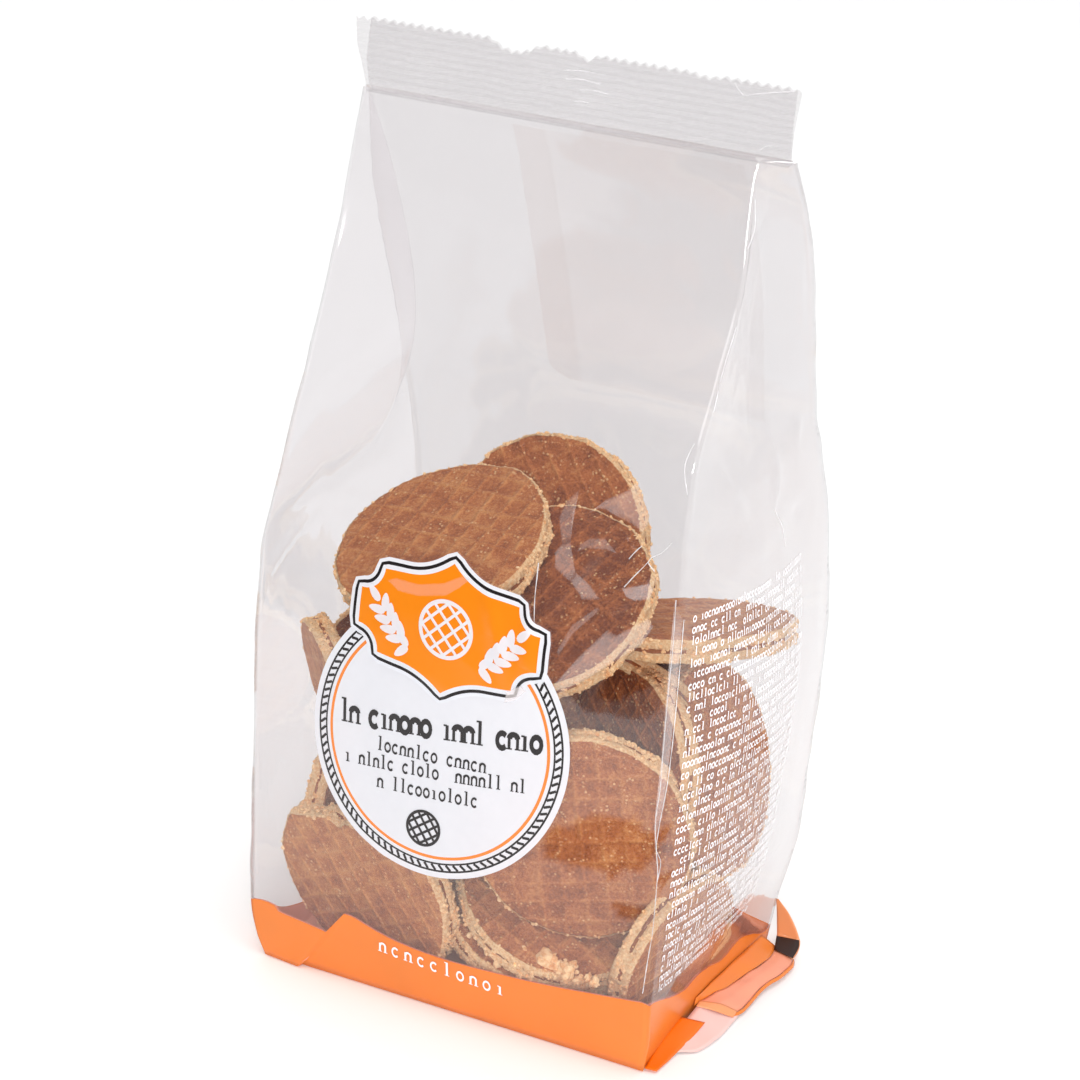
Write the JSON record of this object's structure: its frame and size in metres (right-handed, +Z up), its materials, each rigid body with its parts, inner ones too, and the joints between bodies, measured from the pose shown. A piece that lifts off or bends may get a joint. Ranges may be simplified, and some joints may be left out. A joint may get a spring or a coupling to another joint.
{
  "type": "bag of mini stroopwafels",
  "caption": "Upright clear film bag with a folded block bottom, side gussets and a crimped top seal, filled with small round caramel waffles.",
  "frame": {"origin": "centre of the flat base, at floor level", "axes": "+Z up to the top seal, +Y from the front panel to the back panel, +X to the right of the front panel"},
  "size_m": [0.1199, 0.0859, 0.2211],
  "materials": {
    "clear_film": "clear printed film over biscuits"
  },
  "bodies": {
    "root": {"bag": "clear_film"}
  },
  "joints": []
}
